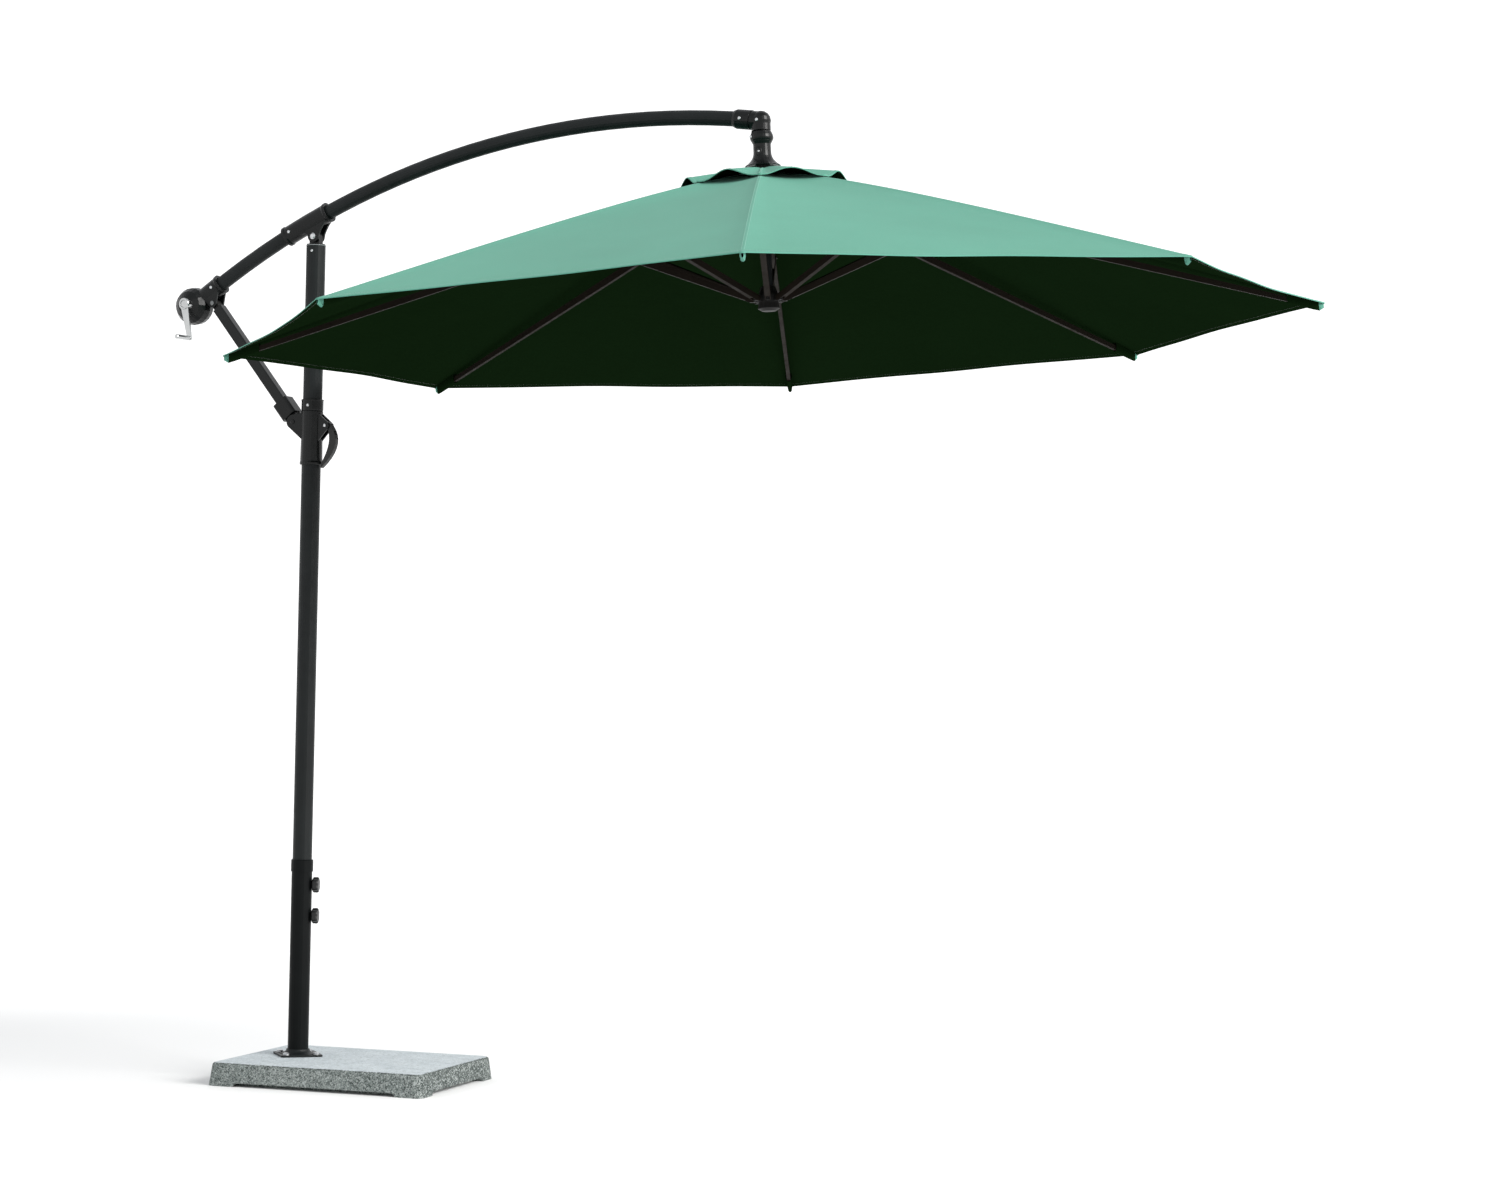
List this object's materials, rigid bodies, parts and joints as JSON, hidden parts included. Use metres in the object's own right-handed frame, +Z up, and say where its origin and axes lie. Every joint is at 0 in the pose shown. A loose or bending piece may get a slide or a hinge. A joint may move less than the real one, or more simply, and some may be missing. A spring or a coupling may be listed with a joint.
{
  "type": "cantilever parasol",
  "caption": "Free-standing cantilever parasol: a canopy hung from a curved boom on a side mast with a slab base, a sliding strut and a crank.",
  "frame": {"origin": "the mast's axis at the ground, on the underside of the base slab", "axes": "+X horizontally along the boom from the mast to the canopy, +Y to the left of that, +Z up"},
  "size_m": [2.9773, 2.4944, 2.4703],
  "materials": {
    "concrete": "pale grey cast concrete with dark speckle, matt",
    "frame_paint": "anthracite powder coat on steel tube, semi-gloss",
    "casting_paint": "anthracite moulded nylon castings, satin with fine texture",
    "black_plastic": "black moulded plastic, satin",
    "hub_plastic": "black moulded plastic, dull",
    "chrome": "bright chrome plate",
    "zinc": "bright zinc-plated screws and pins",
    "rib_paint": "dark brown-black powder coat on steel ribs",
    "canopy_fabric": "sea-green woven polyester canopy cloth, matt"
  },
  "bodies": {
    "base": {"base_slab": "concrete", "base_flange": "frame_paint", "flange_bolt_1": "zinc", "flange_bolt_2": "zinc", "flange_bolt_3": "zinc", "flange_bolt_4": "zinc", "socket_tube": "frame_paint", "socket_collar": "black_plastic"},
    "knob_lower": {"clamp_knob_lower": "black_plastic"},
    "knob_upper": {"clamp_knob_upper": "black_plastic"},
    "mast": {"mast_tube": "frame_paint", "mast_head": "casting_paint", "pivot_bolt": "zinc"},
    "slider": {"slider_body": "casting_paint", "slider_collar": "casting_paint", "collar_screw": "zinc", "strut_foot_pin": "zinc", "lever_pin": "zinc"},
    "lever": {"lock_lever": "black_plastic"},
    "boom": {"boom_tube": "frame_paint", "boom_bracket": "casting_paint", "bracket_screw": "zinc", "crank_housing_left": "casting_paint", "crank_housing_right": "casting_paint", "housing_screw": "zinc", "strut_head_pin": "zinc", "boom_end_sleeve": "casting_paint", "sleeve_screw": "zinc", "boom_elbow": "casting_paint", "pulley_pin": "zinc", "knuckle_pin": "zinc"},
    "strut": {"strut_tube": "frame_paint", "strut_head": "hub_plastic", "strut_socket": "casting_paint"},
    "crank": {"crank_arm": "chrome", "cord_spool": "hub_plastic"},
    "grip": {"crank_grip": "chrome"},
    "pulley": {"cord_pulley": "hub_plastic"},
    "canopy_head": {"canopy_neck": "casting_paint", "top_hub": "hub_plastic", "canopy_cover": "canopy_fabric", "vent_flap": "canopy_fabric"},
    "runner": {"runner_hub": "hub_plastic", "runner_tube": "frame_paint"},
    "rib_1": {"rib_1": "rib_paint"},
    "rib_2": {"rib_2": "rib_paint"},
    "rib_3": {"rib_3": "rib_paint"},
    "rib_4": {"rib_4": "rib_paint"},
    "rib_5": {"rib_5": "rib_paint"},
    "rib_6": {"rib_6": "rib_paint"},
    "rib_7": {"rib_7": "rib_paint"},
    "rib_8": {"rib_8": "rib_paint"},
    "stretcher_1": {"stretcher_1": "rib_paint"},
    "stretcher_2": {"stretcher_2": "rib_paint"},
    "stretcher_3": {"stretcher_3": "rib_paint"},
    "stretcher_4": {"stretcher_4": "rib_paint"},
    "stretcher_5": {"stretcher_5": "rib_paint"},
    "stretcher_6": {"stretcher_6": "rib_paint"},
    "stretcher_7": {"stretcher_7": "rib_paint"},
    "stretcher_8": {"stretcher_8": "rib_paint"}
  },
  "joints": [
    {"name": "mast_swivel", "type": "hinge", "parent": "base", "child": "mast", "pos_m": [0, 0, 0.06], "axis": [0, 0, 1], "continuous": true},
    {"name": "knob_lower_turn", "type": "hinge", "parent": "base", "child": "knob_lower", "pos_m": [0.02592, 0.01047, 0.4212], "axis": [0.9272, 0.3746, 0], "continuous": true},
    {"name": "knob_upper_turn", "type": "hinge", "parent": "base", "child": "knob_upper", "pos_m": [0.02592, 0.01047, 0.5015], "axis": [0.9272, 0.3746, 0], "continuous": true},
    {"name": "boom_tilt", "type": "hinge", "parent": "mast", "child": "boom", "pos_m": [0, 0, 2.188], "axis": [0, 1, 0], "range_deg": [-12, 6]},
    {"name": "slider_slide", "type": "slide", "parent": "mast", "child": "slider", "axis": [0, 0, 1], "range_m": [-0.095, 0.05]},
    {"name": "strut_swing", "type": "hinge", "parent": "boom", "child": "strut", "pos_m": [-0.306, 0, 2.02], "axis": [0, 1, 0], "range_deg": [-10, 20]},
    {"name": "lever_squeeze", "type": "hinge", "parent": "slider", "child": "lever", "pos_m": [0.045, 0, 1.695], "axis": [0, -1, 0], "range_deg": [0, 22], "stiffness_Nm_per_rad": 2},
    {"name": "canopy_tilt", "type": "hinge", "parent": "boom", "child": "canopy_head", "pos_m": [1.25799, 0, 2.39106], "axis": [0, 1, 0], "range_deg": [-2, 6]},
    {"name": "runner_slide", "type": "slide", "parent": "canopy_head", "child": "runner", "axis": [0.0698, 0, -0.9976], "range_m": [0, 0.586], "deforming": ["canopy_cover", "vent_flap"]},
    {"name": "rib_1_fold", "type": "hinge", "parent": "canopy_head", "child": "rib_1", "pos_m": [1.32597, 0.01722, 2.27863], "axis": [-0.3818, 0.9239, -0.0267], "range_deg": [0, 69.2]},
    {"name": "rib_2_fold", "type": "hinge", "parent": "canopy_head", "child": "rib_2", "pos_m": [1.30168, 0.04158, 2.27693], "axis": [-0.9216, 0.3827, -0.0644], "range_deg": [0, 69.2]},
    {"name": "rib_3_fold", "type": "hinge", "parent": "canopy_head", "child": "rib_3", "pos_m": [1.26732, 0.04158, 2.27453], "axis": [-0.9216, -0.3827, -0.0644], "range_deg": [0, 69.2]},
    {"name": "rib_4_fold", "type": "hinge", "parent": "canopy_head", "child": "rib_4", "pos_m": [1.24302, 0.01722, 2.27283], "axis": [-0.3818, -0.9239, -0.0267], "range_deg": [0, 69.2]},
    {"name": "rib_5_fold", "type": "hinge", "parent": "canopy_head", "child": "rib_5", "pos_m": [1.24302, -0.01722, 2.27283], "axis": [0.3818, -0.9239, 0.0267], "range_deg": [0, 69.2]},
    {"name": "rib_6_fold", "type": "hinge", "parent": "canopy_head", "child": "rib_6", "pos_m": [1.26732, -0.04158, 2.27453], "axis": [0.9216, -0.3827, 0.0644], "range_deg": [0, 69.2]},
    {"name": "rib_7_fold", "type": "hinge", "parent": "canopy_head", "child": "rib_7", "pos_m": [1.30168, -0.04158, 2.27693], "axis": [0.9216, 0.3827, 0.0644], "range_deg": [0, 69.2]},
    {"name": "rib_8_fold", "type": "hinge", "parent": "canopy_head", "child": "rib_8", "pos_m": [1.32597, -0.01722, 2.27863], "axis": [0.3818, 0.9239, 0.0267], "range_deg": [0, 69.2]},
    {"name": "stretcher_1_fold", "type": "hinge", "parent": "runner", "child": "stretcher_1", "pos_m": [1.34103, 0.01531, 1.997], "axis": [0.3818, -0.9239, 0.0267], "range_deg": [0, 63.2]},
    {"name": "stretcher_2_fold", "type": "hinge", "parent": "runner", "child": "stretcher_2", "pos_m": [1.31944, 0.03696, 1.99548], "axis": [0.9216, -0.3827, 0.0644], "range_deg": [0, 63.2]},
    {"name": "stretcher_3_fold", "type": "hinge", "parent": "runner", "child": "stretcher_3", "pos_m": [1.2889, 0.03696, 1.99335], "axis": [0.9216, 0.3827, 0.0644], "range_deg": [0, 63.2]},
    {"name": "stretcher_4_fold", "type": "hinge", "parent": "runner", "child": "stretcher_4", "pos_m": [1.2673, 0.01531, 1.99184], "axis": [0.3818, 0.9239, 0.0267], "range_deg": [0, 63.2]},
    {"name": "stretcher_5_fold", "type": "hinge", "parent": "runner", "child": "stretcher_5", "pos_m": [1.2673, -0.01531, 1.99184], "axis": [-0.3818, 0.9239, -0.0267], "range_deg": [0, 63.2]},
    {"name": "stretcher_6_fold", "type": "hinge", "parent": "runner", "child": "stretcher_6", "pos_m": [1.2889, -0.03696, 1.99335], "axis": [-0.9216, 0.3827, -0.0644], "range_deg": [0, 63.2]},
    {"name": "stretcher_7_fold", "type": "hinge", "parent": "runner", "child": "stretcher_7", "pos_m": [1.31944, -0.03696, 1.99548], "axis": [-0.9216, -0.3827, -0.0644], "range_deg": [0, 63.2]},
    {"name": "stretcher_8_fold", "type": "hinge", "parent": "runner", "child": "stretcher_8", "pos_m": [1.34103, -0.01531, 1.997], "axis": [-0.3818, -0.9239, -0.0267], "range_deg": [0, 63.2]},
    {"name": "crank_turn", "type": "hinge", "parent": "boom", "child": "crank", "pos_m": [-0.3595, 0, 2.01469], "axis": [0, 1, 0], "range_deg": [0, 2110]},
    {"name": "grip_spin", "type": "hinge", "parent": "crank", "child": "grip", "pos_m": [-0.3415, -0.072, 1.92345], "axis": [0, 1, 0], "continuous": true},
    {"name": "pulley_turn", "type": "hinge", "parent": "boom", "child": "pulley", "pos_m": [1.27351, 0, 2.43282], "axis": [0, 1, 0], "range_deg": [0, 2930]}
  ],
  "couplings": [
    {"joint": "slider_slide", "follows": "boom_tilt", "m_per_rad": 0.436},
    {"joint": "strut_swing", "follows": "boom_tilt", "ratio": -1.566},
    {"joint": "rib_1_fold", "follows": "runner_slide", "rad_per_m": 2.0524},
    {"joint": "rib_2_fold", "follows": "runner_slide", "rad_per_m": 2.0524},
    {"joint": "rib_3_fold", "follows": "runner_slide", "rad_per_m": 2.0524},
    {"joint": "rib_4_fold", "follows": "runner_slide", "rad_per_m": 2.0524},
    {"joint": "rib_5_fold", "follows": "runner_slide", "rad_per_m": 2.0524},
    {"joint": "rib_6_fold", "follows": "runner_slide", "rad_per_m": 2.0524},
    {"joint": "rib_7_fold", "follows": "runner_slide", "rad_per_m": 2.0524},
    {"joint": "rib_8_fold", "follows": "runner_slide", "rad_per_m": 2.0524},
    {"joint": "stretcher_1_fold", "follows": "runner_slide", "rad_per_m": 1.8692},
    {"joint": "stretcher_2_fold", "follows": "runner_slide", "rad_per_m": 1.8692},
    {"joint": "stretcher_3_fold", "follows": "runner_slide", "rad_per_m": 1.8692},
    {"joint": "stretcher_4_fold", "follows": "runner_slide", "rad_per_m": 1.8692},
    {"joint": "stretcher_5_fold", "follows": "runner_slide", "rad_per_m": 1.8692},
    {"joint": "stretcher_6_fold", "follows": "runner_slide", "rad_per_m": 1.8692},
    {"joint": "stretcher_7_fold", "follows": "runner_slide", "rad_per_m": 1.8692},
    {"joint": "stretcher_8_fold", "follows": "runner_slide", "rad_per_m": 1.8692},
    {"joint": "crank_turn", "follows": "runner_slide", "rad_per_m": 62.5},
    {"joint": "pulley_turn", "follows": "runner_slide", "rad_per_m": 87}
  ]
}
